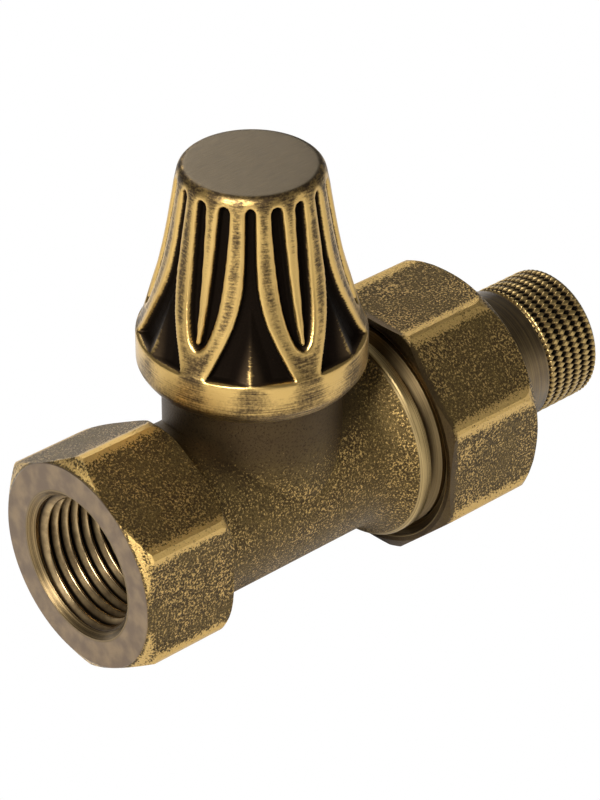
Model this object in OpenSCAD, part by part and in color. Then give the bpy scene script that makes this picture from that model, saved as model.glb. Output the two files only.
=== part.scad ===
// Straight radiator valve with a fluted hand knob and a union tailpiece.
// Origin: centre of the inlet face on the pipe axis. +X runs along the pipe to the tailpiece,
// +Z runs up the spindle axis to the knob. All lengths are in millimetres.

/* [Pipe sizes] */
// Radius over the crests of the half-inch pipe thread, inlet and tailpiece alike
pipe_thread_r = 10.48; // [10.3:0.01:10.6]
// Depth of the inlet thread from the inlet face
inlet_thread_depth = 15; // [12:0.5:17]
// Radius over the crests of the one-inch union thread on the outlet
union_thread_r = 16.62; // [16.4:0.01:16.8]
// Length of the union thread
union_thread_length = 9; // [7:0.5:11]
// Advance of the union nut in one turn
union_pitch = 2.309; // [2:0.001:2.5]

/* [Valve body] */
// Distance from the inlet face to the spindle axis
inlet_arm = 33; // [31:0.5:42]
// Distance from the spindle axis to the outlet seal face
outlet_arm = 31; // [30:0.5:40]
// Width across flats of the inlet hexagon
inlet_af = 31.4; // [30:0.2:36]
// Length of the inlet hexagon
inlet_hex_length = 15.9; // [14:0.1:18]
// Radius of the forged tube between the hexagon and the outlet collar
tube_r = 13.5; // [13:0.1:14.5]
// Radius of the neck under the knob
neck_r = 13.1; // [12.8:0.1:13.4]
// Height of the neck's top face above the pipe axis
neck_top_z = 20.6; // [19:0.2:26]
// Radius of the turned collar at the outlet
collar_r = 16.75; // [16.6:0.05:18]
// Width of the bright turned band on the collar
collar_band = 1.5; // [1:0.1:3]
// Length of the flare that leads from the tube out to the collar
flare_length = 6.2; // [5:0.1:8]
// Width of the thread relief behind the collar
relief_width = 1.8; // [1:0.1:2.5]

/* [Waterway] */
// Radius of the inlet and outlet bores behind their threads
bore_r = 8.6; // [7:0.1:9]
// Radius of the gallery that runs under the seat
gallery_r = 5.2; // [4.5:0.1:5.4]
// Radius of the hole in the seat
seat_hole_r = 6; // [5:0.1:6.3]
// Height of the seat's lip above the pipe axis
seat_z = 2.8; // [2:0.1:3.5]
// Radius of the chamber above the seat
chamber_r = 9.8; // [9.6:0.1:10]

/* [Headwork] */
// Radius over the bonnet's lower thread, which screws into the neck
bonnet_thread_r = 10.95; // [10.6:0.05:11]
// Width across flats of the bonnet's hexagon
bonnet_af = 22; // [20:0.5:23]
// Height of the bonnet's hexagon
bonnet_hex_height = 4.2; // [3:0.1:5]
// Radius of the bonnet's upper barrel
bonnet_barrel_r = 9; // [8.6:0.1:9.4]
// Radius over the plug's thread, which runs inside the bonnet
plug_thread_r = 7.94; // [7.6:0.02:8.2]
// Height that the plug rises between shut and open
plug_lift = 3.75; // [2.5:0.25:4]
// Radius of the spindle's journal
spindle_r = 4; // [3.6:0.05:4.1]
// Width across flats of the spindle's square drive
drive_af = 6.4; // [6:0.1:6.6]
// Width across flats of the gland nut
gland_af = 14; // [13:0.5:15]
// Radius over the gland nut's thread
gland_thread_r = 7; // [6.8:0.05:7.1]

/* [Knob] */
// Gap that the knob's lower edge laps down past the neck's top face
knob_lap = 0.7; // [0.2:0.1:1.5]
// Height of the knob
knob_height = 33.1; // [32:0.1:42]
// Radius of the plain band at the knob's foot
band_r = 16.65; // [16.2:0.05:18]
// Height of the plain band above the bevel at the knob's foot
band_height = 4.8; // [3:0.1:6]
// Height of the bevel at the knob's foot
foot_bevel = 1.9; // [1:0.1:3]
// Radius of the fluted bell where it leaves the band
bell_base_r = 16.1; // [15.5:0.05:16.4]
// Radius of the fluted bell just under the top disc
bell_top_r = 10.6; // [10.2:0.05:11.5]
// Radius of the flat top disc
disc_r = 9.5; // [9:0.05:10]
// Number of petals, with a leaf between each pair
petals = 6; // [5:1:7]
// Depth of the flutes between and inside the petals
flute_depth = 1.6; // [0.8:0.1:1.8]
// Turn of the knob that brings a leaf to the front
knob_turn = 228; // [0:1:359]
// Radius of the plastic insert's hexagon, over its corners
insert_r = 6.3; // [6:0.1:6.6]
// Number of teeth on the spindle's spline
spline_teeth = 18; // [12:1:24]

/* [Union] */
// Width across flats of the union nut
nut_af = 38.2; // [36.8:0.2:44]
// Number of flats on the union nut
nut_sides = 8; // [6:2:8]
// Turn of the union nut from one flat edge straight up
nut_turn = 24; // [0:1:60]
// Length of the union nut
nut_length = 19.1; // [18:0.1:26]
// Length of the nut's closed end behind the tailpiece flange
nut_back = 6.5; // [5:0.1:8]
// Radius of the tailpiece's smooth shank
shank_r = 10.62; // [10.5:0.02:10.8]
// Length of the tailpiece's thread
tail_thread_length = 10.2; // [9:0.1:14]
// Width of the groove between the tailpiece's shank and its thread
tail_groove = 0.7; // [0.6:0.1:1.5]
// Distance that the tailpiece stands out of the union nut
tail_reach = 21; // [18:0.1:32]
// Radius of the waterway through the tailpiece
tail_bore_r = 7.75; // [6:0.05:8]
// Radius of the tailpiece's spigot in the outlet
spigot_r = 11.95; // [11.5:0.05:12.2]
// Length of the spigot
spigot_length = 4.7; // [4:0.1:5.5]
// Thickness of the flange that the union nut pulls against
flange = 3.4; // [2.5:0.05:5]

/* [Clearances] */
// Radial running clearance of turned fits
running_gap = 0.06; // [0.03:0.01:0.1]
// Radial clearance between mating threads
thread_gap = 0.08; // [0.04:0.01:0.1]
// Clearance between faces that stop against each other
face_gap = 0.05; // [0.02:0.01:0.1]

/* [Hidden] */
$fn = 96;
eps = 0.01;

BRASS = "darkgoldenrod";
BRIGHT = "goldenrod";
DARK = "saddlebrown";
SEAL = "dimgray";
PTFE = "white";
STEEL = "silver";

// Stations along the pipe
outlet_x = inlet_arm + outlet_arm;
thread_start_x = outlet_x - union_thread_length;
collar_x = thread_start_x - relief_width;
band_x = collar_x - collar_band;
flare_x = band_x - flare_length;
flange_x = outlet_x + face_gap;
shoulder_x = flange_x + flange + face_gap;
nut_end_x = shoulder_x + nut_back;
nut_mouth_x = nut_end_x - nut_length;
tail_end_x = nut_end_x + tail_reach;
tail_thread_x = tail_end_x - tail_thread_length;
spigot_x = flange_x - spigot_length;

// The valve body's inside
mouth_chamfer = 0.92;
runout = 3;
gallery_z = -gallery_r - 0.4;
gallery_end_x = inlet_arm + seat_hole_r + 0.5;
floor_z = seat_z - 0.8;
lip_width = 1.2;
crossing_r = 5;
crossing_z = floor_z + crossing_r - 0.8;
outlet_bore_x = inlet_arm + chamber_r + 1.7;
counterbore_depth = spigot_length + 0.35;
neck_thread_z = 12.6;
o_ring_pocket_r = bonnet_thread_r + 0.65;
o_ring_pocket_z = neck_top_z - 1.9;

// Heights of the headwork above the pipe axis
hex_top_z = neck_top_z + bonnet_hex_height;
web_z = neck_top_z - 0.4;
web = 1.8;
collar_z = web_z + web + 0.8;
collar_height = 1.6;
gland_z = collar_z + collar_height + 0.8;
barrel_top_z = gland_z + 5.8;
gland_head = 2.6;
gland_top_z = barrel_top_z + gland_head;
barrel_foot_z = 10.5;
washer_r = gland_thread_r - 1.05;
plug_top_z = web_z - plug_lift - 0.45;
seal_z = seat_z + face_gap;
seal_thickness = 2.2;
broach_z = seal_z + seal_thickness + 3.9;
square_foot_z = broach_z + plug_lift + 0.25;
seal_r = seat_hole_r + lip_width + 0.2;
plug_foot_z = seal_z + 0.75;
screw_head_r = 2.9;

// Heights of the knob
foot_z = neck_top_z - knob_lap;
knob_top_z = foot_z + knob_height;
band_z = foot_z + foot_bevel;
bell_z = band_z + band_height;
rim_z = knob_top_z - 1.5;
bell_height = rim_z - bell_z;
hub_r = insert_r + 1.3;
hub_z = gland_top_z + 3;
insert_foot_z = gland_top_z + 0.7;
insert_top_z = knob_top_z - 6.4;
clip_z = insert_foot_z + 0.7;
clip_height = 1;
clip_r = 4.7;
spline_r = spindle_r - 0.05;
spline_root_r = spline_r - 0.45;
spline_z = clip_z + clip_height + 0.4;
spindle_top_z = insert_top_z - 0.8;
knob_wall = 1.9;
sector = 360 / petals;

// Radius of the knob's bell at a height between the band and the rim
function bell_r(z) = bell_top_r + (bell_base_r - bell_top_r) * pow(max(0, rim_z - z) / bell_height, 1.31);

// Points of an arc about (cx, cy), from one angle to another
function arc(cx, cy, r, from, to, n = 8) =
    [for (i = [0:n]) let (a = from + (to - from) * i / n) [cx + r * cos(a), cy + r * sin(a)]];

// Mirrored copy of a half outline, joined to it in order
function both_sides(half) =
    concat(half, [for (i = [len(half) - 1:-1:0]) [-half[i][0], half[i][1]]]);

// Turns an outline of (distance along the pipe, radius) about the pipe axis
module about_pipe(points) {
    rotate([0, 90, 0]) rotate([0, 0, 180]) rotate_extrude() polygon([for (p = points) [p[1], p[0]]]);
}

// A round bar along the pipe
module pipe_rod(r, x0, x1, z = 0) {
    translate([x0, 0, z]) rotate([0, 90, 0]) cylinder(r = r, h = x1 - x0);
}

// A round bar along the spindle axis
module post(r, z0, z1) {
    translate([inlet_arm, 0, z0]) cylinder(r = r, h = z1 - z0);
}

// A regular bar along the spindle axis, across its flats
module flats_post(af, sides, z0, z1) {
    translate([inlet_arm, 0, z0]) cylinder(r = af / 2 / cos(180 / sides), h = z1 - z0, $fn = sides);
}

// An O-ring about the spindle axis
module o_ring(inner, outer, z) {
    section = (outer - inner) / 2;
    translate([inlet_arm, 0, z]) rotate_extrude() translate([inner + section, 0]) circle(r = section, $fn = 32);
}

// A washer about the spindle axis
module ring(inner, outer, z0, z1) {
    difference() {
        post(outer, z0, z1);
        post(inner, z0 - 1, z1 + 1);
    }
}

// Inlet hexagon: an edge straight up, corners turned back at the face and rounded off at the rear
module inlet_hexagon() {
    apothem = inlet_af / 2;
    corner_r = apothem / cos(30);
    turned_r = corner_r - 0.25;
    rear = 2.4;
    intersection() {
        rotate([0, 90, 0]) cylinder(r = corner_r, h = inlet_hex_length, $fn = 6);
        about_pipe(concat(
            [[0, 0], [0, apothem - 0.05], [1.5, turned_r], [inlet_hex_length - rear, turned_r]],
            [for (p = arc(inlet_hex_length - rear, turned_r - rear, rear, 80, 0, 6)) p],
            [[inlet_hex_length, 0]]
        ));
    }
}

// Turned and forged outline of the tube, the flare, the collar and the union thread
module outlet_run() {
    curl = 2.2;
    about_pipe(concat(
        [[inlet_hex_length - 3, 0], [inlet_hex_length - 3, tube_r], [flare_x, tube_r]],
        [for (i = [1:10]) let (t = i / 10)
            [flare_x + (flare_length - 0.3) * t, tube_r + (collar_r - 0.5 - tube_r) * (1 - cos(90 * pow(t, 1.3)))]],
        [[band_x, collar_r - 0.12], [band_x + 0.2, collar_r], [collar_x, collar_r],
         [collar_x, union_thread_r - 1.4], [thread_start_x - 0.5, union_thread_r - 1.4],
         [thread_start_x + 0.6, union_thread_r], [outlet_x - 0.8, union_thread_r],
         [outlet_x, union_thread_r - 0.8], [outlet_x, 0]]
    ));
}

// Neck that carries the headwork
module neck() {
    post(neck_r, 0, neck_top_z - 0.6);
    translate([inlet_arm, 0, neck_top_z - 0.6]) cylinder(r1 = neck_r, r2 = neck_r - 0.6, h = 0.6);
}

// Everything that is bored out of the forging
module waterways() {
    about_pipe([[-1, 0], [-1, pipe_thread_r + mouth_chamfer + 1], [mouth_chamfer, pipe_thread_r],
        [inlet_thread_depth, pipe_thread_r], [inlet_thread_depth + 1, bore_r],
        [inlet_thread_depth + runout, bore_r], [inlet_thread_depth + runout, 0]]);
    pipe_rod(gallery_r, inlet_thread_depth + runout - 1, gallery_end_x, gallery_z);
    post(seat_hole_r, gallery_z, seat_z + 1);
    difference() {
        post(chamber_r, floor_z, neck_thread_z + 1);
        ring(seat_hole_r - 1, seat_hole_r + lip_width, floor_z - 1, seat_z);
    }
    pipe_rod(crossing_r, inlet_arm + chamber_r - 4.5, outlet_bore_x + 1, crossing_z);
    pipe_rod(bore_r, outlet_bore_x, outlet_x - 1);
    pipe_rod(spigot_r + running_gap + 0.04, outlet_x - counterbore_depth, outlet_x + 1);
    post(bonnet_thread_r + face_gap, neck_thread_z, neck_top_z + 1);
    post(o_ring_pocket_r, o_ring_pocket_z, neck_top_z + 1);
}

module valve_body() {
    color(BRASS) difference() {
        union() {
            inlet_hexagon();
            outlet_run();
            neck();
        }
        waterways();
    }
}

// Bonnet: screws into the neck, guides the plug below and takes the gland nut above
module bonnet() {
    color(BRIGHT) difference() {
        union() {
            post(chamber_r - 0.3, barrel_foot_z, o_ring_pocket_z);
            post(bonnet_thread_r, neck_thread_z + 0.3, o_ring_pocket_z - 0.2);
            post(bonnet_thread_r - 1.3, o_ring_pocket_z - 1, neck_top_z + 1);
            intersection() {
                flats_post(bonnet_af, 6, neck_top_z, hex_top_z);
                translate([inlet_arm, 0, neck_top_z]) cylinder(
                    r1 = bonnet_af / 2 + bonnet_hex_height + 0.6, r2 = bonnet_af / 2 + 0.6, h = bonnet_hex_height);
            }
            post(bonnet_barrel_r, hex_top_z - 1, barrel_top_z);
        }
        post(plug_thread_r + thread_gap, barrel_foot_z - 1, web_z);
        post(spindle_r + 0.55, web_z - 1, web_z + web + 1);
        post(washer_r + 0.1, web_z + web, gland_z + 1);
        post(gland_thread_r + thread_gap, gland_z, barrel_top_z + 1);
    }
}

module bonnet_o_ring() {
    color(SEAL) o_ring(bonnet_thread_r - 1.25, o_ring_pocket_r - 0.05, neck_top_z - 0.95);
}

// Gland nut: holds the spindle down and seals it with the two O-rings in the spindle's grooves
module gland_nut() {
    groove_z = gland_z + 1;
    color(BRIGHT) difference() {
        union() {
            post(gland_thread_r, gland_z, barrel_top_z);
            intersection() {
                flats_post(gland_af, 6, barrel_top_z, gland_top_z);
                translate([inlet_arm, 0, barrel_top_z]) cylinder(
                    r1 = gland_af / 2 + gland_head + 0.4, r2 = gland_af / 2 + 0.4, h = gland_head);
            }
        }
        post(spindle_r + running_gap, gland_z - 1, gland_top_z + 1);
        ring(gland_thread_r - 1.1, gland_thread_r + 1, groove_z, groove_z + 1.4);
    }
}

module gland_o_ring() {
    color(SEAL) o_ring(gland_thread_r - 1.05, gland_thread_r + 0.05, gland_z + 1.7);
}

module thrust_washer_lower() {
    color(PTFE) ring(spindle_r + 0.65, washer_r, web_z + web, collar_z - face_gap);
}

module thrust_washer_upper() {
    color(PTFE) ring(spindle_r + 0.2, washer_r, collar_z + collar_height + face_gap, gland_z);
}

// Outline of a spline: teeth of a regular cog between a root and a tip radius
module spline_outline(root, tip) {
    step = 360 / spline_teeth;
    polygon([for (i = [0:spline_teeth - 1], k = [0:3])
        let (a = step * (i + [0.1, 0.3, 0.5, 0.8][k]), r = [root, tip, tip, root][k])
        [r * cos(a), r * sin(a)]]);
}

// Grooves for the spindle's O-rings, low and high inside the gland nut
function spindle_groove_z(k) = gland_z + 1.4 + 3 * k;

module spindle() {
    color(BRIGHT) difference() {
        union() {
            intersection() {
                flats_post(drive_af, 4, square_foot_z, collar_z + 0.5);
                post(spindle_r + 0.42, square_foot_z, collar_z + 0.5);
            }
            post(washer_r - 0.05, collar_z, collar_z + collar_height);
            post(spindle_r, collar_z + 1, spline_z - 0.2);
            translate([inlet_arm, 0, spline_z - 0.5]) linear_extrude(spindle_top_z - spline_z)
                spline_outline(spline_root_r, spline_r);
            translate([inlet_arm, 0, spindle_top_z - 1]) cylinder(r1 = spline_root_r - 0.1, r2 = spline_root_r - 0.9, h = 1);
        }
        for (k = [0, 1]) ring(spindle_r - 1.05, spindle_r + 1, spindle_groove_z(k), spindle_groove_z(k) + 1.5);
        ring(spindle_r - 0.6, spindle_r + 1, clip_z, clip_z + clip_height);
    }
}

module spindle_o_ring(k) {
    color(SEAL) o_ring(spindle_r - 1, spindle_r + 0.03, spindle_groove_z(k) + 0.75);
}

module spindle_o_ring_lower() {
    spindle_o_ring(0);
}

module spindle_o_ring_upper() {
    spindle_o_ring(1);
}

// Half width of the bay between two petals, at a height
function bay_half(z) = 0.8 + 5.3 * pow(max(0, (bell_z + 0.78 * bell_height - z) / (0.78 * bell_height)), 2.1);

// Outline of the bay between two petals: a slot above, which opens into a pointed arch
module bay_outline() {
    steps = 12;
    foot = bell_z + 0.1;
    head = rim_z + 0.1;
    points = concat(
        [for (i = [0:steps]) let (z = foot + (head - foot) * i / steps) [bay_half(z), z]],
        arc(0, head, 0.8, 0, 90, 4)
    );
    polygon(both_sides(points));
}

// Outer and inner edges of a petal's slot, measured from the petal's rib, for s from foot to head
function slot_outer(s) = 2.85 * sin(180 * (0.06 + 0.6 * pow(s, 0.75)));
function slot_inner(s) = 0.45 + 0.27 * s;

// Outline of one of the two slots in a petal: pointed at its foot, round at its head
module slot_outline() {
    steps = 10;
    foot = bell_z + 0.15 * bell_height;
    head = rim_z - 0.1;
    width = slot_outer(1) - slot_inner(1);
    outer = [for (i = [0:steps]) let (s = i / steps) [slot_outer(s), foot + (head - foot) * s]];
    cap = arc(slot_inner(1) + width / 2, head, width / 2, 20, 160, 5);
    inner = [for (i = [steps:-5:0]) let (s = i / steps) [slot_inner(s), foot + (head - foot) * s]];
    polygon(concat(outer, cap, inner));
}

// Cuts an outline of (width, height) outwards through the bell at an angle
module through_bell(angle) {
    translate([inlet_arm, 0, 0]) rotate([0, 0, knob_turn + angle]) rotate([90, 0, 90])
        translate([0, 0, disc_r - 4]) linear_extrude(band_r) children();
}

// One leaf: a low pyramid with a sharp ridge, standing in a bay
module leaf(angle) {
    foot = bell_z - 0.6;
    tip = bell_z + 0.37 * bell_height;
    ridge_r = bell_base_r - 0.15;
    half = 3.6;
    root_r = bell_base_r - flute_depth - 0.5;
    translate([inlet_arm, 0, 0]) rotate([0, 0, knob_turn + angle]) polyhedron(
        points = [
            [bell_r(tip) - 0.5, 0, tip], [ridge_r, 0, foot], [root_r, -half, foot],
            [root_r, half, foot], [root_r - 4, 0, foot]
        ],
        faces = [[0, 1, 2], [0, 3, 1], [0, 2, 4], [0, 4, 3], [1, 3, 4, 2]]
    );
}

// Solid outline of the knob before it is fluted, about its own axis
function knob_outline() = concat(
    [[0, foot_z], [band_r - 1.25, foot_z], [band_r - 0.35, foot_z + 0.9], [band_r, band_z], [band_r, bell_z - 0.3],
     [band_r - 0.3, bell_z]],
    [for (i = [0:10]) let (z = bell_z + bell_height * i / 10) [bell_r(z), z]],
    [[bell_top_r - 0.25, rim_z + 0.6], [disc_r + 0.2, knob_top_z - 0.15], [disc_r, knob_top_z], [0, knob_top_z]]
);

// The bell without its petals and leaves, which shows at the bottom of the flutes
function knob_core() = concat(
    [[0, bell_z - 1], [bell_base_r - flute_depth, bell_z - 1]],
    [for (i = [0:8]) let (z = bell_z + bell_height * i / 8) [bell_r(z) - flute_depth, z]],
    [[disc_r - flute_depth - 0.3, knob_top_z - 0.5], [0, knob_top_z - 0.5]]
);

// Hollow underside of the knob, up to the foot of the hub's flange
function knob_hollow() = concat(
    [[0, foot_z - 1], [neck_r + 0.8, foot_z - 1], [neck_r + 0.8, hex_top_z + 0.6]],
    [for (i = [0:4]) let (z = bell_z + (0.62 * bell_height) * i / 4) [bell_r(z) - flute_depth - knob_wall, z]],
    [[0, bell_z + 0.62 * bell_height]]
);

module knob() {
    color(DARK) union() {
        difference() {
            union() {
                difference() {
                    translate([inlet_arm, 0, 0]) rotate_extrude() polygon(knob_outline());
                    for (k = [0:petals - 1]) {
                        through_bell(sector * k) bay_outline();
                        through_bell(sector * (k + 0.5)) slot_outline();
                        through_bell(sector * (k + 0.5)) mirror([1, 0]) slot_outline();
                    }
                }
                translate([inlet_arm, 0, 0]) rotate_extrude() polygon(knob_core());
                for (k = [0:petals - 1]) leaf(sector * k);
            }
            difference() {
                translate([inlet_arm, 0, 0]) rotate_extrude() polygon(knob_hollow());
                post(hub_r, hub_z, knob_top_z - 2);
            }
            translate([inlet_arm, 0, hub_z - 1]) rotate([0, 0, knob_turn])
                cylinder(r = insert_r + 0.05, h = insert_top_z - hub_z + 1.3, $fn = 6);
        }
    }
}

// Plastic insert: a hexagon in the knob's hub, splined inside, with a slotted collet below
module knob_insert() {
    color(PTFE) difference() {
        union() {
            translate([inlet_arm, 0, hub_z]) rotate([0, 0, knob_turn])
                cylinder(r = insert_r, h = insert_top_z - hub_z, $fn = 6);
            post(clip_r + 0.7, insert_foot_z, clip_z);
            post(clip_r, insert_foot_z, hub_z + 1);
            post(clip_r + 0.7, clip_z + clip_height, hub_z);
        }
        translate([inlet_arm, 0, spline_z - 0.6]) linear_extrude(knob_top_z)
            spline_outline(spline_root_r + 0.06, spline_r + 0.06);
        post(spindle_r + 0.05, insert_foot_z - 1, spline_z - 0.1);
        for (a = [45, 135]) translate([inlet_arm, 0, insert_foot_z - 1]) rotate([0, 0, a])
            translate([-hub_r, -0.4, 0]) cube([2 * hub_r, 0.8, hub_z - insert_foot_z - 0.6]);
    }
}

// Spring ring that closes the collet on the spindle
module knob_clip() {
    color(STEEL) difference() {
        ring(clip_r + 0.04, clip_r + 0.9, clip_z + 0.05, clip_z + clip_height - 0.05);
        translate([inlet_arm, -1.2, clip_z - 1]) cube([hub_r, 2.4, clip_height + 2]);
    }
}

// Plug: screws up and down in the bonnet and slides on the spindle's square
module plug() {
    color(BRIGHT) difference() {
        union() {
            post(seal_r + 1.1, plug_foot_z, plug_foot_z + 3);
            post(plug_thread_r, plug_foot_z + 2, plug_top_z);
        }
        post(seal_r + 0.05, plug_foot_z - 1, seal_z + seal_thickness);
        flats_post(drive_af + 0.14, 4, broach_z, plug_top_z + 1);
        post(2.05, seal_z, broach_z + 0.5);
    }
}

module plug_seal() {
    color(SEAL) ring(2.3, seal_r, seal_z, seal_z + seal_thickness);
}

module seal_washer() {
    color(BRIGHT) ring(2.1, 4.2, seal_z - 0.75, seal_z);
}

// Cheese-head screw that holds the washer and the seal to the plug
module seal_screw() {
    head_z = seal_z - 0.75 - 1.5;
    color(STEEL) difference() {
        union() {
            post(screw_head_r, head_z, head_z + 1.5);
            post(2, head_z + 1, broach_z - 0.2);
        }
        translate([inlet_arm - screw_head_r - 1, -0.4, head_z - 1]) cube([2 * screw_head_r + 2, 0.8, 1.7]);
    }
}

// Union nut: flats outside, plain ends turned over the corners, thread bore and shoulder inside
module union_nut() {
    apothem = nut_af / 2;
    corner_r = apothem / cos(180 / nut_sides);
    dome = 4.2;
    mouth_r = union_thread_r + thread_gap + 1.5;
    hole_r = shank_r + 0.28;
    color(BRASS) difference() {
        intersection() {
            translate([nut_mouth_x, 0, 0]) rotate([nut_turn, 0, 0]) rotate([0, 90, 0])
                cylinder(r = corner_r, h = nut_length, $fn = nut_sides);
            about_pipe(concat(
                [[nut_mouth_x, 0], [nut_mouth_x, apothem - 0.1], [nut_mouth_x + 0.5, corner_r - 0.5],
                 [nut_mouth_x + 1.2, corner_r - 0.12]],
                [[nut_end_x - dome, corner_r - 0.12]],
                arc(nut_end_x - dome, corner_r - 0.12 - dome, dome, 75, 0, 6),
                [[nut_end_x, 0]]
            ));
        }
        about_pipe([[nut_mouth_x - 1, 0], [nut_mouth_x - 1, mouth_r], [nut_mouth_x, mouth_r],
            [nut_mouth_x + 1.4, union_thread_r + thread_gap], [shoulder_x, union_thread_r + thread_gap],
            [shoulder_x, hole_r], [nut_end_x - 0.5, hole_r], [nut_end_x + 1, hole_r + 1.5], [nut_end_x + 1, 0]]);
    }
}

// Tailpiece: spigot and flange inside the union, smooth shank and pipe thread outside
module tailpiece() {
    groove_x = spigot_x + 1.3;
    groove_width = 2.2;
    flange_r = union_thread_r - 1.4;
    color(DARK) difference() {
        about_pipe([
            [spigot_x, 0], [spigot_x, spigot_r - 0.4], [spigot_x + 0.4, spigot_r], [groove_x, spigot_r],
            [groove_x, spigot_r - 1.4], [groove_x + groove_width, spigot_r - 1.4], [groove_x + groove_width, spigot_r],
            [flange_x, spigot_r], [flange_x, flange_r], [flange_x + flange, flange_r], [flange_x + flange, shank_r],
            [tail_thread_x - tail_groove, shank_r], [tail_thread_x - tail_groove, pipe_thread_r - 0.6],
            [tail_thread_x, pipe_thread_r - 0.6], [tail_thread_x, pipe_thread_r],
            [tail_end_x - 0.6, pipe_thread_r], [tail_end_x, pipe_thread_r - 0.55], [tail_end_x, 0]
        ]);
        pipe_rod(tail_bore_r, spigot_x - 1, tail_end_x + 1);
    }
}

module tailpiece_o_ring() {
    section = 0.7;
    groove_centre = spigot_x + 2.4;
    color(SEAL) translate([groove_centre, 0, 0]) rotate([0, 90, 0]) rotate_extrude()
        translate([spigot_r - section + 0.02, 0]) circle(r = section, $fn = 32);
}

valve_body();
bonnet();
bonnet_o_ring();
gland_nut();
gland_o_ring();
thrust_washer_lower();
thrust_washer_upper();
spindle();
spindle_o_ring_lower();
spindle_o_ring_upper();
knob();
knob_insert();
knob_clip();
plug();
plug_seal();
seal_washer();
seal_screw();
union_nut();
tailpiece();
tailpiece_o_ring();
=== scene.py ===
"""Looks of a straight radiator valve in antique bronze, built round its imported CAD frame."""
import math

import bpy
import numpy as np
from mathutils import Matrix, Vector


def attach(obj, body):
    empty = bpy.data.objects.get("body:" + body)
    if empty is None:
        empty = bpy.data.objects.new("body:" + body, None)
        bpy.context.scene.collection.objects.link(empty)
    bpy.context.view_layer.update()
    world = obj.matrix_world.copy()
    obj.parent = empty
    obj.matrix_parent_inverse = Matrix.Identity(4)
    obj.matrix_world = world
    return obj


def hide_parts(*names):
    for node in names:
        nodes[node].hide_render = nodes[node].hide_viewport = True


MM = 0.001
SPINDLE_X = 33.0          # distance from the inlet face to the knob's axis, mm
KNOB_TURN = 228.0         # polar angle of the leaf that faces the camera, degrees
PETALS = 6
SECTOR = 360 / PETALS     # one petal and one leaf, degrees

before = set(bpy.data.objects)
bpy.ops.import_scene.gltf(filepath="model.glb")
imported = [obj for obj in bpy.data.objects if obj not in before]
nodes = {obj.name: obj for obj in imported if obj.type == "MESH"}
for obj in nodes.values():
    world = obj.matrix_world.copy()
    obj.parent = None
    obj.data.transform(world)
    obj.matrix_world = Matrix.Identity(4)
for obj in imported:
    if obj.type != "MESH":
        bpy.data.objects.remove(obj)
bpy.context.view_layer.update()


# Meshes

def smoothstep(x, lo, hi):
    """0 below lo, 1 above hi, and a smooth ramp between."""
    t = np.clip((x - lo) / (hi - lo), 0, 1)
    return t * t * (3 - 2 * t)


def make_object(name, points_mm, quads, attributes=None, tris=None, sharp_angle=None):
    """A smooth-shaded mesh object from points in millimetres."""
    mesh = bpy.data.meshes.new(name)
    faces = [tuple(int(i) for i in q) for q in quads]
    if tris is not None:
        faces += [tuple(int(i) for i in t) for t in tris]
    mesh.from_pydata((np.asarray(points_mm) * MM).tolist(), [], faces)
    mesh.polygons.foreach_set("use_smooth", [True] * len(mesh.polygons))
    for key, values in (attributes or {}).items():
        layer = mesh.attributes.new(key, "FLOAT", "POINT")
        layer.data.foreach_set("value", np.asarray(values, np.float32))
    mesh.update()
    mesh.validate()
    obj = bpy.data.objects.new(name, mesh)
    bpy.context.scene.collection.objects.link(obj)
    if sharp_angle is not None:
        mark_sharp(obj, sharp_angle)
    return obj


def mark_sharp(obj, degrees):
    """Marks every edge that turns more than an angle as sharp."""
    obj.data.set_sharp_from_angle(angle=math.radians(degrees))


def grid_quads(rows, columns):
    """Quads of a grid whose columns close on themselves, row by row."""
    r = np.arange(rows - 1)[:, None] * columns
    c = np.arange(columns)[None, :]
    n = (c + 1) % columns
    return np.stack([r + c, r + n, r + columns + n, r + columns + c], -1).reshape(-1, 4)


def closing_quads(rows, columns):
    """Quads that join a grid's last row to its first."""
    last = (rows - 1) * columns
    i = np.arange(columns)
    j = (i + 1) % columns
    return np.stack([last + i, last + j, j, i], -1)


def blur(field, across, along):
    """Gaussian blur of a grid that wraps round in its second axis."""
    def kernel(sigma):
        k = np.arange(-int(3 * sigma + 1), int(3 * sigma + 1) + 1)
        w = np.exp(-0.5 * (k / sigma) ** 2)
        return k, w / w.sum()
    out = np.zeros_like(field)
    for k, w in zip(*kernel(across)):
        out += w * np.roll(field, k, axis=1)
    field, out = out, np.zeros_like(field)
    last = len(field) - 1
    index = np.arange(len(field))
    for k, w in zip(*kernel(along)):
        out += w * field[np.clip(index + k, 0, last)]
    return out


# The knob: a bell of petals, slots and leaves, as one relief surface

BAND_TOP_Z = 26.6         # the ledge between the plain band and the bell
RIM_Z = 51.7              # the rounded rim of the bell
KNOB_TOP_Z = 53.0
ROOF_Z = 50.4             # the roof of the hollow underside
KNOB_COLUMNS = 480

# The bell's radius by height
BELL_Z = (26.65, 27.0, 27.6, 28.4, 30, 32, 34, 36, 38, 40, 42, 44, 46, 48, 50, 51.6)
BELL_R = (16.50, 16.25, 15.98, 15.68, 15.2, 14.65, 14.1, 13.55,
          13.05, 12.6, 12.2, 11.83, 11.5, 11.17, 10.86, 10.52)
# Half the width of the bay between two petals, by height
BAY_Z = (26.6, 27.4, 28.2, 29.5, 31.3, 32.8, 34.3, 36.5, 38.6, 40, 42, 44, 47, 50, 50.8, 51.25, 51.55)
BAY_W = (6.6, 6.1, 5.6, 4.9, 3.95, 3.25, 2.57, 1.85, 1.36, 1.15, 1.0, 0.92, 0.86, 0.84, 0.78, 0.52, 0.0)
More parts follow.
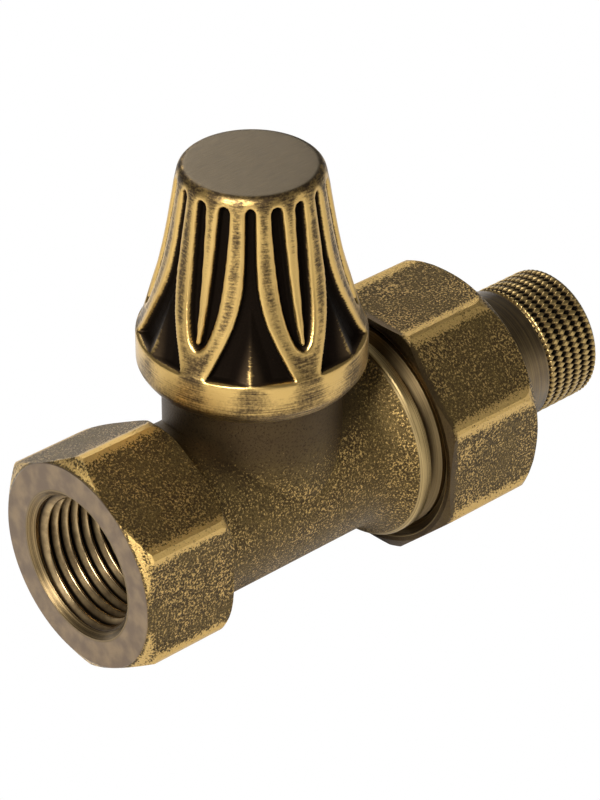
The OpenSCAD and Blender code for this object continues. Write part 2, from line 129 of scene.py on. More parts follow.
# The two edges of a petal's slot, from the petal's rib, by height
SLOT_Z = (30.15, 30.4, 30.8, 31.3, 32.5, 34, 36, 38, 40, 44, 48, 50, 50.7, 51.2, 51.5)
SLOT_OUT = (0.0, 0.5, 0.95, 1.3, 1.75, 2.15, 2.48, 2.65, 2.75, 2.85, 2.88, 2.85, 2.75, 2.45, 1.85)
SLOT_IN = (-0.6, -0.5, -0.3, 0.16, 0.28, 0.38, 0.47, 0.55, 0.6, 0.72, 0.82, 0.88, 0.95, 1.2, 1.85)
BAY_DEPTH = 1.55
SLOT_DEPTH = 1.5
WALL = 0.42               # width of the rounded wall of a flute, mm
LIP = -0.08               # where that wall starts, outside the flute's edge
LEAF_TIP_Z = 36.6
LEAF_SLOPE = 0.43         # fall of a leaf's flanks away from its ridge
CROWN, CROWN_WIDTH = 0.10, 0.45   # rounding of the ribs beside a flute
STEEPEST = 3              # limit on an edge's slope where its table turns sharply


def slope(z, heights, widths, step=0.05):
    """Slope of a table of widths by height."""
    return (np.interp(z + step, heights, widths) - np.interp(z - step, heights, widths)) / (2 * step)


def square_on(distance, steepness):
    """Distance to a sloping edge, from the distance measured level."""
    return distance / np.sqrt(1 + np.clip(steepness, -STEEPEST, STEEPEST) ** 2)


def knob_relief(z, angle):
    """Depth of the knob's relief below its envelope at heights z and angles from a leaf's axis."""
    radius = np.interp(z, BELL_Z, BELL_R)
    from_leaf = np.abs((angle + SECTOR / 2) % SECTOR - SECTOR / 2)
    leaf_s = np.radians(from_leaf) * radius
    petal_s = np.radians(SECTOR / 2 - from_leaf) * radius
    bay = square_on(np.interp(z, BAY_Z, BAY_W) - leaf_s, slope(z, BAY_Z, BAY_W))
    outer = square_on(np.interp(z, SLOT_Z, SLOT_OUT) - petal_s, slope(z, SLOT_Z, SLOT_OUT))
    slot = np.minimum(outer, petal_s - np.interp(z, SLOT_Z, SLOT_IN))
    slot = np.where((z > SLOT_Z[0]) & (z < SLOT_Z[-1]), slot, -1)
    ridge = np.interp(z, (BAND_TOP_Z, LEAF_TIP_Z), (0.10, BAY_DEPTH))
    leaf = ridge + LEAF_SLOPE * np.maximum(leaf_s - 0.12, 0)
    bay_depth = np.minimum(BAY_DEPTH * smoothstep(bay, LIP, WALL), leaf)
    slot_depth = SLOT_DEPTH * smoothstep(slot, LIP, WALL)
    crown = CROWN * (1 - smoothstep(-np.maximum(bay, slot), 0.0, CROWN_WIDTH))
    return np.maximum(np.maximum(bay_depth, slot_depth), crown)


def build_knob():
    """The knob's outside with its relief, its hollow underside, and a disc over each."""
    foot = [(19.9, 14.0), (19.9, 15.05), (19.95, 15.3), (20.15, 15.55), (20.9, 16.1), (21.5, 16.47),
            (21.85, 16.61), (22.2, 16.65), (24.2, 16.65), (26.0, 16.65), (26.35, 16.60), (26.55, 16.50)]
    bell = [(z, float(np.interp(z, BELL_Z, BELL_R))) for z in np.concatenate([
        np.arange(26.68, 27.6, 0.12), np.arange(27.6, 51.65, 0.18)])]
    top = [(51.8, 10.47), (52.1, 10.38), (52.4, 10.22), (52.65, 10.02), (52.85, 9.78), (52.95, 9.55),
           (52.99, 9.35), (KNOB_TOP_Z, 9.1), (KNOB_TOP_Z, 7.5), (KNOB_TOP_Z, 5.0), (KNOB_TOP_Z, 2.5),
           (KNOB_TOP_Z, 0.6)]
    hollow = [(ROOF_Z, 0.6), (ROOF_Z, 6.5), (ROOF_Z, 7.6), (45.0, 8.6), (40.0, 9.6), (34.0, 11.6),
              (28.0, 12.9), (25.4, 13.4), (25.2, 13.9), (22.0, 13.9)]
    outside_z, outside_r = np.array(foot + bell + top).T
    hollow_z, hollow_r = np.array(hollow).T
    angle = np.arange(KNOB_COLUMNS) * 360.0 / KNOB_COLUMNS
    zz, aa = np.meshgrid(outside_z, angle, indexing="ij")
    depth = knob_relief(zz, aa) * ((zz > BAND_TOP_Z) & (zz < RIM_Z))
    # the flutes end against the band in a ledge
    depth *= smoothstep(zz, BAND_TOP_Z, BAND_TOP_Z + 0.15)
    worn = np.clip((blur(depth, 3.2, 3.2) - depth) * 1.6 + 0.12, 0, 1)
    deep = np.clip(depth / BAY_DEPTH, 0, 1)
    all_z = np.vstack([zz, np.repeat(hollow_z[:, None], KNOB_COLUMNS, 1)])
    all_r = np.vstack([outside_r[:, None] - depth, np.repeat(hollow_r[:, None], KNOB_COLUMNS, 1)])
    turn = np.radians(aa[:1] + KNOB_TURN)
    points = np.stack([SPINDLE_X + all_r * np.cos(turn), all_r * np.sin(turn), all_z], -1).reshape(-1, 3)
    rows = len(all_z)
    top_row = (len(outside_z) - 1) * KNOB_COLUMNS
    roof_row = top_row + KNOB_COLUMNS
    quads = grid_quads(rows, KNOB_COLUMNS)
    # the outside's last ring and the hollow's first aren't joined: a disc closes each
    quads = quads[(quads[:, 0] < top_row) | (quads[:, 0] >= roof_row)]
    quads = np.vstack([quads, closing_quads(rows, KNOB_COLUMNS)])
    centre = len(points)
    points = np.vstack([points, [[SPINDLE_X, 0, KNOB_TOP_Z], [SPINDLE_X, 0, ROOF_Z]]])
    ring = [(i, (i + 1) % KNOB_COLUMNS) for i in range(KNOB_COLUMNS)]
    tris = [(top_row + i, top_row + j, centre) for i, j in ring]
    tris += [(roof_row + j, roof_row + i, centre + 1) for i, j in ring]
    pad = np.zeros(len(points) - worn.size)
    knob = make_object("knob_bell", points, quads, {
        "worn": np.concatenate([worn.ravel(), pad]), "deep": np.concatenate([deep.ravel(), pad])}, tris)
    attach(knob, "knob_and_spindle")
    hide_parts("knob")
    return knob


# The tailpiece: a turned shank and a thread with notched crests

SPIGOT_X, FLANGE_X, SHOULDER_X = 59.35, 64.05, 67.45
TAIL_END = 95.0
TAIL_BORE_R, SPIGOT_R, FLANGE_R = 7.75, 11.95, 15.22
SHANK_R, CREST_R, RUNOUT_R = 10.62, 10.48, 9.9
PIPE_PITCH = 1.814        # half-inch pipe thread, 14 threads an inch
THREAD_START = 84.8
NOTCHES = 68              # knurled notches round the thread's crests
TAIL_COLUMNS = 12 * NOTCHES


def build_tailpiece():
    """The turned tailpiece, with notches across its thread."""
    before = [
        (TAIL_END - 0.05, TAIL_BORE_R), (SPIGOT_X, TAIL_BORE_R),
        (SPIGOT_X, SPIGOT_R - 0.45), (SPIGOT_X + 0.15, SPIGOT_R - 0.15), (SPIGOT_X + 0.4, SPIGOT_R),
        (60.65, SPIGOT_R), (60.65, SPIGOT_R - 1.4), (62.85, SPIGOT_R - 1.4), (62.85, SPIGOT_R),
        (FLANGE_X, SPIGOT_R), (FLANGE_X, FLANGE_R - 0.12), (FLANGE_X + 0.15, FLANGE_R),
        (SHOULDER_X - 0.15, FLANGE_R), (SHOULDER_X, FLANGE_R - 0.12),
        (SHOULDER_X, SHANK_R + 0.13), (SHOULDER_X + 0.15, SHANK_R),
        (84.0, SHANK_R), (84.1, SHANK_R - 0.07), (84.12, RUNOUT_R + 0.05), (84.5, RUNOUT_R),
    ]
    thread_x = np.arange(84.56, 94.35, 0.12)
    after = [(94.45, 10.28), (94.62, 10.12), (94.8, 9.95), (94.93, 9.75), (TAIL_END, 9.5), (TAIL_END, 8.0)]
    angle = np.arange(TAIL_COLUMNS) * 2 * math.pi / TAIL_COLUMNS
    flat = np.ones(TAIL_COLUMNS)
    rows = [(x * flat, r * flat, 0 * flat, 0 * flat) for x, r in before]
    for x in thread_x:
        wave = 0.5 - 0.5 * np.cos(2 * math.pi * (x - THREAD_START) / PIPE_PITCH - angle)
        notch = 0.5 - 0.5 * np.cos(NOTCHES * angle)
        pit = np.maximum(wave + notch - 0.75, 0) / 1.25
        depth = 0.08 * wave + 0.60 * pit
        lift = smoothstep(np.array(x), THREAD_START - 0.25, THREAD_START + 0.2)
        radius = RUNOUT_R + (CREST_R - depth - RUNOUT_R) * lift
        rows.append((x * flat, radius, np.clip(1 - depth / 0.5, 0, 1), np.clip(depth / 0.6, 0, 1)))
    rows += [(x * flat, r * flat, 0.3 * flat, 0 * flat) for x, r in after]
    x, r, worn, deep = (np.stack(part) for part in zip(*rows))
    points = np.stack([x, -r * np.sin(angle), r * np.cos(angle)], -1).reshape(-1, 3)
    quads = np.vstack([grid_quads(len(rows), TAIL_COLUMNS), closing_quads(len(rows), TAIL_COLUMNS)])
    attributes = {"worn": worn.ravel(), "deep": deep.ravel()}
    tail = make_object("tailpiece_turned", points, quads, attributes, sharp_angle=50)
    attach(tail, "tailpiece")
    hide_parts("tailpiece")
    return tail


# The inlet's thread: a helical ridge inside the plain bore

INLET_START, INLET_END = 1.0, 15.0
INLET_ROOT_R, INLET_DEPTH = 10.495, 1.16    # the ridge's foot lies just inside the bore's wall
INLET_STEPS = 120         # points in one turn


def build_inlet_thread():
    """One closed ridge of a rounded V, fading in at the mouth and out at the bottom."""
    turns = (INLET_END - INLET_START) / PIPE_PITCH
    count = int(turns * INLET_STEPS)
    t = np.arange(count + 1) / INLET_STEPS
    angle = 2 * math.pi * t
    x = INLET_START + PIPE_PITCH * t
    flank = [(-0.5, 0.0), (-0.34, 0.30), (-0.2, 0.62), (-0.1, 0.86), (-0.04, 0.96)]
    section = flank + [(-along, height) for along, height in reversed(flank)]
    fade = np.maximum(smoothstep(t, 0.0, 0.8) * (1 - smoothstep(t, turns - 0.5, turns)), 0.03)
    rings = []
    for along, height in section:
        xx = np.clip(x + along * PIPE_PITCH, INLET_START - 0.05, INLET_END)
        rr = INLET_ROOT_R - (height * INLET_DEPTH + 0.02) * fade
        rings.append(np.stack([xx, -rr * np.sin(angle), rr * np.cos(angle)], -1))
    n = len(section)
    points = np.stack(rings, 1).reshape(-1, 3)
    quads = []
    for i in range(count):
        for k in range(n):
            a, b = i * n + k, i * n + (k + 1) % n
            quads.append((a, b, b + n, a + n))
    ends = [tuple(range(n - 1, -1, -1)), tuple(range(count * n, count * n + n))]
    worn_flank, deep_flank = [0.0, 0.1, 0.3, 0.8, 1.0], [1.0, 0.7, 0.4, 0.1, 0.0]
    worn = np.tile(worn_flank + worn_flank[::-1], count + 1)
    deep = np.tile(deep_flank + deep_flank[::-1], count + 1)
    thread = make_object("inlet_thread", points, quads, {"worn": worn, "deep": deep}, tris=ends)
    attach(thread, "body")
    return thread


# Materials

class Nodes:
    """Builds a material's node tree with short calls, in the object's own millimetres."""

    def __init__(self, name):
        self.material = bpy.data.materials.new(name)
        self.material.use_nodes = True
        self.tree = self.material.node_tree
        self.tree.nodes.clear()
        self.output = self.add("ShaderNodeOutputMaterial")
        self.shader = self.add("ShaderNodeBsdfPrincipled")
        self.link(self.shader.outputs["BSDF"], self.output.inputs["Surface"])
        coordinates = self.add("ShaderNodeTexCoord")
        scale = self.add("ShaderNodeVectorMath", operation="SCALE")
        self.link(coordinates.outputs["Object"], scale.inputs[0])
        scale.inputs["Scale"].default_value = 1000
        self.place = scale.outputs["Vector"]
        split = self.add("ShaderNodeSeparateXYZ")
        self.link(self.place, split.inputs[0])
        self.x, self.y, self.z = split.outputs
        geometry = self.add("ShaderNodeNewGeometry")
        self.geometry = geometry

    def add(self, kind, **settings):
        node = self.tree.nodes.new(kind)
        for key, value in settings.items():
            setattr(node, key, value)
        return node

    def link(self, source, target):
        self.tree.links.new(source, target)

    def put(self, target, value):
        if isinstance(value, (int, float)):
            target.default_value = value
        elif isinstance(value, (tuple, list)):
            target.default_value = (*value, 1.0) if len(value) == 3 and target.type == "RGBA" else value
        else:
            self.link(value, target)

    def math(self, operation, a, b=None, c=None, clamp=False):
        node = self.add("ShaderNodeMath", operation=operation, use_clamp=clamp)
        for index, value in enumerate((a, b, c)):
            if value is not None:
                self.put(node.inputs[index], value)
        return node.outputs[0]

    def ramp(self, value, lo, hi, to_lo=0.0, to_hi=1.0, smooth=True):
        node = self.add("ShaderNodeMapRange", interpolation_type="SMOOTHSTEP" if smooth else "LINEAR", clamp=True)
        for key, item in (("Value", value), ("From Min", lo), ("From Max", hi), ("To Min", to_lo), ("To Max", to_hi)):
            self.put(node.inputs[key], item)
        return node.outputs[0]

    def noise(self, scale, detail=2.0, roughness=0.5, vector=None, stretch=None):
        node = self.add("ShaderNodeTexNoise", noise_dimensions="3D")
        source = vector or self.place
        if stretch:
            mapped = self.add("ShaderNodeVectorMath", operation="MULTIPLY")
            self.link(source, mapped.inputs[0])
            mapped.inputs[1].default_value = stretch
            source = mapped.outputs[0]
        self.link(source, node.inputs["Vector"])
        node.inputs["Scale"].default_value = scale
        node.inputs["Detail"].default_value = detail
        node.inputs["Roughness"].default_value = roughness
        return node.outputs["Fac"]

    def vector(self, x, y, z):
        node = self.add("ShaderNodeCombineXYZ")
        for index, value in enumerate((x, y, z)):
            self.put(node.inputs[index], value)
        return node.outputs[0]

    def mix(self, factor, a, b):
        node = self.add("ShaderNodeMix", data_type="RGBA", clamp_factor=True)
        self.put(node.inputs[0], factor)
        self.put(node.inputs[6], a)
        self.put(node.inputs[7], b)
        return node.outputs[2]

    def blend(self, factor, a, b):
        node = self.add("ShaderNodeMix", data_type="FLOAT", clamp_factor=True)
        self.put(node.inputs[0], factor)
        self.put(node.inputs[2], a)
        self.put(node.inputs[3], b)
        return node.outputs[0]

    def attribute(self, name):
        return self.add("ShaderNodeAttribute", attribute_name=name).outputs["Fac"]

    def bump(self, height, distance, strength=1.0, normal=None):
        node = self.add("ShaderNodeBump")
        self.put(node.inputs["Height"], height)
        node.inputs["Distance"].default_value = distance * MM
        self.put(node.inputs["Strength"], strength)
        if normal is not None:
            self.link(normal, node.inputs["Normal"])
        return node.outputs["Normal"]

    def finish(self, colour, roughness, metallic, normal=None):
        self.put(self.shader.inputs["Base Color"], colour)
        self.put(self.shader.inputs["Roughness"], roughness)
        self.put(self.shader.inputs["Metallic"], metallic)
        if normal is not None:
            self.link(normal, self.shader.inputs["Normal"])
        return self.material


SOOT = (0.020, 0.012, 0.007)      # the blackened coat at the bottom of recesses
BROWN = (0.060, 0.039, 0.021)     # the toned coat on smooth faces, also used as painted shade in the crook of the neck
OLIVE = (0.125, 0.084, 0.030)     # the toned coat on blasted faces
GOLD = (0.56, 0.37, 0.125)        # brass where the coat is rubbed through
UMBER = (0.080, 0.053, 0.022)     # darker clouds in the coat on blasted faces


def from_pipe_axis(n):
    """Distance of a point from the pipe axis."""
    return n.math("SQRT", n.math("ADD", n.math("MULTIPLY", n.y, n.y), n.math("MULTIPLY", n.z, n.z)))


def from_spindle_axis(n):
    """Distance of a point from the spindle's axis."""
    dx = n.math("SUBTRACT", n.x, SPINDLE_X)
    return n.math("SQRT", n.math("ADD", n.math("MULTIPLY", dx, dx), n.math("MULTIPLY", n.y, n.y)))


def streaks(n, u, u_scale, v, v_scale, detail=3.0):
    """Noise drawn out along one or both of two coordinates."""
    place = n.vector(n.math("MULTIPLY", u, u_scale), n.math("MULTIPLY", v, v_scale), 0.0)
    return n.noise(1.0, detail, 0.6, vector=place)


def blasted(n, gold_share):
    """Height, share rubbed to gold, and cloudiness of a grit-blasted and toned surface."""
    grain = n.noise(3.1, 3.0, 0.62)
    fine = n.noise(7.5, 2.0, 0.55)
    cloud = n.noise(0.16, 3.0, 0.55)
    height = n.math("ADD", n.math("MULTIPLY", grain, 0.75), n.math("MULTIPLY", fine, 0.35))
    level = n.math("ADD", n.math("MULTIPLY", grain, 0.7), n.math("MULTIPLY", fine, 0.3))
    patchy = n.math("MULTIPLY", n.math("SUBTRACT", cloud, 0.5), 0.9)
    threshold = n.math("SUBTRACT", 0.66, n.math("MULTIPLY", n.math("ADD", gold_share, patchy), 0.22))
    speck = n.ramp(n.math("SUBTRACT", level, threshold), -0.05, 0.06)
    return height, speck, cloud


def body_material():
    n = Nodes("antique_bronze_body")
    r = from_pipe_axis(n)
    rs = from_spindle_axis(n)
    normal = n.add("ShaderNodeSeparateXYZ")
    n.link(n.geometry.outputs["Normal"], normal.inputs[0])
    nx = normal.outputs[0]
    # where the forging was turned: the inlet face, its chamfer, the bores, and everything outside the flare
    face = n.math("MULTIPLY", n.ramp(n.x, 0.05, 0.12, 1.0, 0.0), n.ramp(r, 15.85, 16.0, 1.0, 0.0))
    inside = n.math("MULTIPLY", n.ramp(r, 11.6, 11.8, 1.0, 0.0), n.ramp(n.z, 11.0, 12.0, 1.0, 0.0))
    collar = n.ramp(n.x, 51.35, 51.5)
    turned = n.math("MAXIMUM", n.math("MAXIMUM", face, inside), collar)
    # edges where the coat is rubbed through
    corner = n.ramp(r, 17.15, 17.85)
    hexagon = n.ramp(n.x, 15.7, 16.4, 1.0, 0.0)
    rim = n.math("MULTIPLY", n.ramp(n.x, 0.0, 1.6, 1.0, 0.0), n.ramp(r, 15.9, 16.2))
    edge = n.math("MULTIPLY", n.math("MAXIMUM", corner, n.math("MULTIPLY", rim, 0.8)), hexagon)
    # painted shade: the coat is painted darker, browner and with fewer gold specks in the crook of the neck, where
    # shade falls; the grain's bump is also softer there
    shaded_crook = n.math("MULTIPLY", n.ramp(n.z, 6.0, 16.0), n.ramp(rs, 13.0, 17.5, 1.0, 0.0))
    shaded_crook = n.math("MULTIPLY", shaded_crook, n.ramp(n.x, 15.8, 16.8))
    share = n.math("SUBTRACT", n.math("ADD", 0.42, n.math("MULTIPLY", edge, 0.9)), n.math("MULTIPLY", shaded_crook, 0.75))
    height, speck, cloud = blasted(n, share)
    coat = n.mix(n.ramp(cloud, 0.3, 0.7), OLIVE, UMBER)
    # painted shade: the crook is mixed toward the brown coat
    coat = n.mix(n.math("MULTIPLY", shaded_crook, 0.75), coat, BROWN)
    coat = n.mix(n.ramp(height, 0.38, 0.56, 0.75, 0.0), coat, SOOT)
    blast_colour = n.mix(speck, coat, GOLD)
    # turned faces
    rings = streaks(n, r, 9.0, n.x, 9.0)
    patches = n.noise(0.35, 3.0, 0.5)
    face_colour = n.mix(n.ramp(patches, 0.35, 0.7), (0.15, 0.105, 0.068), (0.235, 0.165, 0.095))
    bore_colour = n.mix(n.ramp(rings, 0.35, 0.7), (0.055, 0.038, 0.02), (0.32, 0.22, 0.1))
    band_colour = n.mix(n.ramp(rings, 0.3, 0.7), (0.20, 0.14, 0.06), (0.52, 0.38, 0.17))
    turned_colour = n.mix(inside, n.mix(collar, face_colour, band_colour), bore_colour)
    thread_zone = n.ramp(n.x, 53.25, 53.35)
    turned_colour = n.mix(n.math("MULTIPLY", thread_zone, 0.8), turned_colour, (0.09, 0.06, 0.03))
    colour = n.mix(turned, blast_colour, turned_colour)
    rough = n.blend(turned, n.math("SUBTRACT", 0.52, n.math("MULTIPLY", speck, 0.16)), n.ramp(rings, 0.3, 0.7, 0.27, 0.42))
    soft = n.math("SUBTRACT", 1.0, n.math("MULTIPLY", shaded_crook, 0.7))
    blasted_normal = n.bump(height, 0.16, n.math("MULTIPLY", n.math("SUBTRACT", 1.0, turned), soft))
    normal_out = n.bump(rings, 0.02, n.math("MULTIPLY", turned, 0.6), blasted_normal)
    return n.finish(colour, rough, 1.0, normal_out)


def nut_material():
    n = Nodes("antique_bronze_nut")
    r = from_pipe_axis(n)
    rim = n.ramp(n.x, 55.5, 56.3, 1.0, 0.0)
    near_mouth = n.math("MULTIPLY", n.ramp(n.x, 55.0, 55.1, 1.0, 0.0), n.ramp(r, 18.25, 18.4, 1.0, 0.0))
    inside = n.ramp(r, 17.9, 18.0, 1.0, 0.0)
    inside = n.math("MULTIPLY", inside, n.ramp(n.x, 73.4, 73.6, 1.0, 0.0))
    corner = n.ramp(r, 19.9, 20.45)
    share = n.math("ADD", 0.45, n.math("MULTIPLY", corner, 0.8))
    share = n.math("SUBTRACT", share, n.math("MULTIPLY", rim, 0.5))
    height, speck, cloud = blasted(n, share)
    coat = n.mix(n.ramp(cloud, 0.3, 0.7), OLIVE, UMBER)
    coat = n.mix(n.ramp(height, 0.38, 0.56, 0.75, 0.0), coat, SOOT)
    colour = n.mix(speck, coat, GOLD)
    colour = n.mix(n.math("MULTIPLY", rim, 0.55), colour, BROWN)
    rings = streaks(n, r, 8.0, n.x, 8.0)
    turned_colour = n.mix(n.ramp(rings, 0.3, 0.7), (0.16, 0.11, 0.05), (0.42, 0.30, 0.13))
    colour = n.mix(n.math("MAXIMUM", inside, near_mouth), colour, turned_colour)
    rough = n.blend(rim, n.math("SUBTRACT", 0.52, n.math("MULTIPLY", speck, 0.16)), 0.34)
    normal = n.bump(height, 0.16, n.math("SUBTRACT", 1.0, n.math("MAXIMUM", inside, n.math("MULTIPLY", rim, 0.7))))
    return n.finish(colour, rough, 1.0, normal)


def knob_material():
    n = Nodes("antique_bronze_knob")
    worn = n.attribute("worn")
    deep = n.attribute("deep")
    rs = from_spindle_axis(n)
    top = n.math("MULTIPLY", n.ramp(n.z, 52.9, 53.0), n.ramp(rs, 9.5, 9.7, 1.0, 0.0))
    band = n.ramp(n.z, 26.3, 26.9, 1.0, 0.0)
    dx = n.math("SUBTRACT", n.x, SPINDLE_X)
    angle = n.math("MULTIPLY", n.math("ARCTAN2", n.y, dx), 16.0)
    # scratches round the band, and up and across the petals
    round_place = n.vector(n.math("MULTIPLY", angle, 0.12), 0.0, n.math("MULTIPLY", n.z, 5.0))
    cross_place = n.vector(n.math("MULTIPLY", angle, 0.5), 3.0, n.math("MULTIPLY", n.z, 3.6))
    round_scratch = n.noise(1.0, 4.0, 0.65, vector=round_place)
    cross_scratch = n.noise(1.0, 4.0, 0.7, vector=cross_place)
    scratch = n.blend(band, cross_scratch, round_scratch)
    fleck = n.noise(2.6, 3.0, 0.6)
    cloud = n.noise(0.22, 2.0, 0.5)
    amount = n.math("ADD", n.math("MULTIPLY", worn, 1.25), n.math("MULTIPLY", n.math("SUBTRACT", scratch, 0.5), 0.9))
    amount = n.math("ADD", amount, n.math("MULTIPLY", n.math("SUBTRACT", fleck, 0.5), 0.5))
    amount = n.math("ADD", amount, n.math("MULTIPLY", n.math("SUBTRACT", cloud, 0.5), 0.5))
    amount = n.math("SUBTRACT", amount, n.math("MULTIPLY", deep, 0.9))
    gold = n.ramp(amount, 0.0, 0.55)
    coat = n.mix(n.ramp(deep, 0.1, 0.75), BROWN, (0.009, 0.006, 0.004))
    colour = n.mix(gold, coat, GOLD)
    lines = streaks(n, n.x, 0.35, n.y, 9.0)
    disc = n.mix(n.ramp(lines, 0.3, 0.7), (0.046, 0.032, 0.015), (0.072, 0.051, 0.023))
    colour = n.mix(top, colour, disc)
    rough = n.blend(gold, 0.46, 0.30)
    rough = n.blend(n.ramp(deep, 0.2, 0.8), rough, 0.75)
    rough = n.blend(top, rough, 0.36)
    normal = n.bump(n.blend(top, scratch, lines), 0.05, n.math("SUBTRACT", 1.0, n.math("MULTIPLY", top, 0.6)))
    normal = n.bump(fleck, 0.04, n.math("SUBTRACT", 0.8, n.math("MULTIPLY", top, 0.75)), normal)
    return n.finish(colour, rough, 1.0, normal)


def tail_material():
    n = Nodes("antique_bronze_tail")
    deep = n.attribute("deep")
    worn = n.attribute("worn")
    r = from_pipe_axis(n)
    lines = streaks(n, n.x, 7.0, r, 4.0, 4.0)
    cloud = n.noise(0.3, 2.0, 0.5)
    toned = n.math("ADD", lines, n.math("MULTIPLY", cloud, 0.4))
    smooth_colour = n.mix(n.ramp(toned, 0.5, 0.9), (0.105, 0.068, 0.032), (0.24, 0.165, 0.07))
    thread = n.ramp(n.x, THREAD_START - 0.5, THREAD_START - 0.1)
    crest_colour = n.mix(n.ramp(worn, 0.5, 1.0), (0.14, 0.09, 0.04), (0.42, 0.29, 0.11))
    # painted shade: the thread's notches are painted near black, darker the deeper they are
    thread_colour = n.mix(n.ramp(deep, 0.15, 0.6), crest_colour, (0.008, 0.006, 0.004))
    colour = n.mix(thread, smooth_colour, thread_colour)
    rough = n.blend(thread, n.ramp(lines, 0.3, 0.7, 0.27, 0.4), n.ramp(deep, 0.1, 0.8, 0.32, 0.8))
    normal = n.bump(lines, 0.03, n.math("SUBTRACT", 1.0, thread))
    return n.finish(colour, rough, 1.0, normal)


def thread_material():
    n = Nodes("antique_bronze_thread")
    deep = n.attribute("deep")
    worn = n.attribute("worn")
    patch = n.noise(0.5, 3.0, 0.6)
    crest = n.mix(n.ramp(patch, 0.3, 0.7), (0.22, 0.15, 0.075), (0.42, 0.3, 0.15))
    colour = n.mix(n.ramp(deep, 0.2, 1.0), crest, (0.03, 0.02, 0.012))
    rough = n.ramp(worn, 0.0, 1.0, 0.45, 0.24)
    return n.finish(colour, rough, 1.0, n.bump(patch, 0.04))


def plain_material(name, light, dark, roughness, metallic, grain=1.4, lift=0.03):
    n = Nodes(name)
    fine = n.noise(grain * 3, 3.0, 0.6)
    broad = n.noise(grain * 0.3, 2.0, 0.5)
    tone = n.math("ADD", n.math("MULTIPLY", fine, 0.5), n.math("MULTIPLY", broad, 0.5))
    colour = n.mix(n.ramp(tone, 0.35, 0.65), dark, light)
    rough = n.ramp(fine, 0.3, 0.7, roughness - 0.05, roughness + 0.08)
    return n.finish(colour, rough, metallic, n.bump(fine, lift))


# Camera, floor and light

TARGET = Vector((42.26, 0, 9.77)) * MM
DISTANCE = 496.3 * MM
AZIMUTH, ELEVATION, ROLL = math.radians(41.97), math.radians(33.24), math.radians(0.37)
FOCAL_PIXELS, FRAME_HEIGHT = 3387.3, 800


def build_camera():
    data = bpy.data.cameras.new("camera")
    data.sensor_fit = "VERTICAL"
    data.sensor_height = 36
    data.lens = FOCAL_PIXELS * data.sensor_height / FRAME_HEIGHT
    data.clip_start, data.clip_end = 0.01, 20
    level = math.cos(ELEVATION)
    back = Vector((-math.sin(AZIMUTH) * level, -math.cos(AZIMUTH) * level, math.sin(ELEVATION)))
    right = Vector((math.cos(AZIMUTH), -math.sin(AZIMUTH), 0))
    up = back.cross(right)
    cos, sin = math.cos(ROLL), math.sin(ROLL)
    right, up = right * cos + up * sin, up * cos - right * sin
    turned = Matrix((right, up, back)).transposed().to_4x4()
    camera = bpy.data.objects.new("camera", data)
    camera.matrix_world = Matrix.Translation(TARGET + back * DISTANCE) @ turned
    bpy.context.scene.collection.objects.link(camera)
    bpy.context.scene.camera = camera


FLOOR_Z = -0.0195         # just under the inlet hexagon and the nut, m
FLOOR_HALF = 3.0          # half of the floor's side, m
WORLD_STRENGTH = 0.17     # light from all round
AIM = Vector((0.045, 0, 0.01))
LAMPS = {                 # place in m, side in m and power in W of each lamp
    "key": ((-0.55, -0.25, 0.55), 0.35, 11.0),
    "fill": ((0.5, -0.7, 0.25), 0.5, 0.9),
    "back": ((0.35, 0.6, 0.5), 0.4, 2.4),
}


def area_light(name, place, side, power):
    """A square lamp that points at the part."""
    data = bpy.data.lights.new(name, "AREA")
    data.shape = "SQUARE"
    data.size = side
    data.energy = power
    light = bpy.data.objects.new(name, data)
    light.location = place
    light.rotation_euler = (AIM - Vector(place)).to_track_quat("-Z", "Y").to_euler()
    bpy.context.scene.collection.objects.link(light)


def white_to_camera(tree, shader, white, surface):
    """Shows plain white to camera rays and another shader to all the rest."""
    mix = tree.nodes.new("ShaderNodeMixShader")
    path = tree.nodes.new("ShaderNodeLightPath")
    tree.links.new(path.outputs["Is Camera Ray"], mix.inputs[0])
    tree.links.new(shader.outputs[0], mix.inputs[1])
    tree.links.new(white.outputs[0], mix.inputs[2])
    tree.links.new(mix.outputs[0], surface)


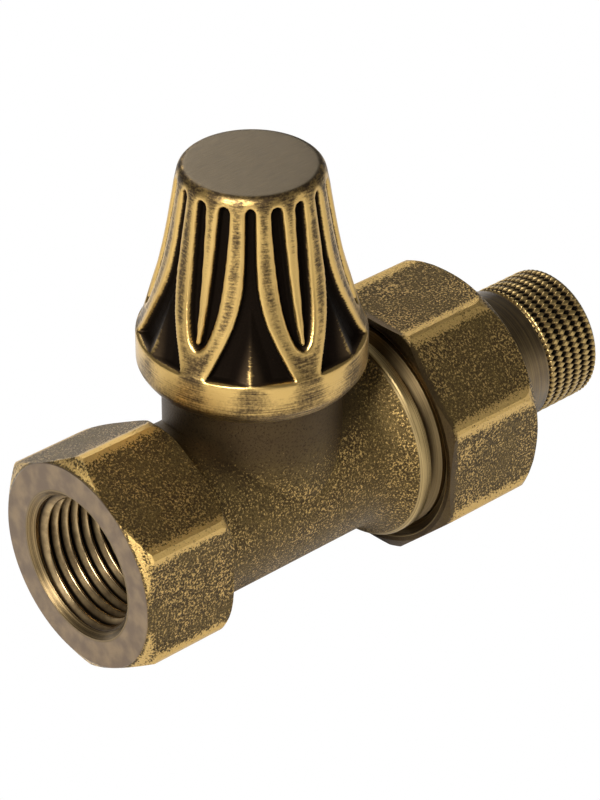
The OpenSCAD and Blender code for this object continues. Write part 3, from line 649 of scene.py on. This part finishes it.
def build_floor():
    mesh = bpy.data.meshes.new("floor")
    corners = ((-1, -1), (1, -1), (1, 1), (-1, 1))
    mesh.from_pydata([(x * FLOOR_HALF, y * FLOOR_HALF, FLOOR_Z) for x, y in corners], [], [(0, 1, 2, 3)])
    floor = bpy.data.objects.new("floor", mesh)
    bpy.context.scene.collection.objects.link(floor)
    material = bpy.data.materials.new("floor")
    material.use_nodes = True
    tree = material.node_tree
    tree.nodes.clear()
    output = tree.nodes.new("ShaderNodeOutputMaterial")
    diffuse = tree.nodes.new("ShaderNodeBsdfDiffuse")
    diffuse.inputs["Color"].default_value = (0.9, 0.9, 0.9, 1)
    white = tree.nodes.new("ShaderNodeEmission")
    white_to_camera(tree, diffuse, white, output.inputs["Surface"])
    floor.data.materials.append(material)


def build_world():
    world = bpy.data.worlds.new("world")
    bpy.context.scene.world = world
    world.use_nodes = True
    tree = world.node_tree
    tree.nodes.clear()
    output = tree.nodes.new("ShaderNodeOutputWorld")
    dim, white = (tree.nodes.new("ShaderNodeBackground") for _ in range(2))
    for background, strength in ((dim, WORLD_STRENGTH), (white, 1.0)):
        background.inputs["Color"].default_value = (1, 1, 1, 1)
        background.inputs["Strength"].default_value = strength
    white_to_camera(tree, dim, white, output.inputs["Surface"])


def dress(obj, material):
    """Puts one material in every slot of an object."""
    if not obj.material_slots:
        obj.data.materials.append(material)
    for slot in obj.material_slots:
        slot.material = material


bpy.context.scene.view_settings.view_transform = "Standard"
build_camera()
build_floor()
build_world()
for name, (place, side, power) in LAMPS.items():
    area_light(name, place, side, power)

dress(build_knob(), knob_material())
dress(build_tailpiece(), tail_material())
dress(build_inlet_thread(), thread_material())
dress(nodes["valve_body"], body_material())
dress(nodes["union_nut"], nut_material())

brass = plain_material("turned_brass", (0.60, 0.44, 0.19), (0.50, 0.36, 0.15), 0.28, 1.0)
rubber = plain_material("black_rubber", (0.022, 0.022, 0.022), (0.012, 0.012, 0.012), 0.6, 0.0, 2.0)
plastic = plain_material("white_plastic", (0.78, 0.77, 0.72), (0.70, 0.69, 0.64), 0.45, 0.0, 1.0, 0.015)
steel = plain_material("spring_steel", (0.60, 0.60, 0.60), (0.48, 0.48, 0.48), 0.26, 1.0)
FINISH = {
    "bonnet": brass, "gland_nut": brass, "spindle": brass, "plug": brass, "seal_washer": brass,
    "bonnet_o_ring": rubber, "gland_o_ring": rubber, "spindle_o_ring_lower": rubber, "spindle_o_ring_upper": rubber,
    "plug_seal": rubber, "tailpiece_o_ring": rubber,
    "thrust_washer_lower": plastic, "thrust_washer_upper": plastic, "knob_insert": plastic,
    "knob_clip": steel, "seal_screw": steel,
}
for name, material in FINISH.items():
    dress(nodes[name], material)
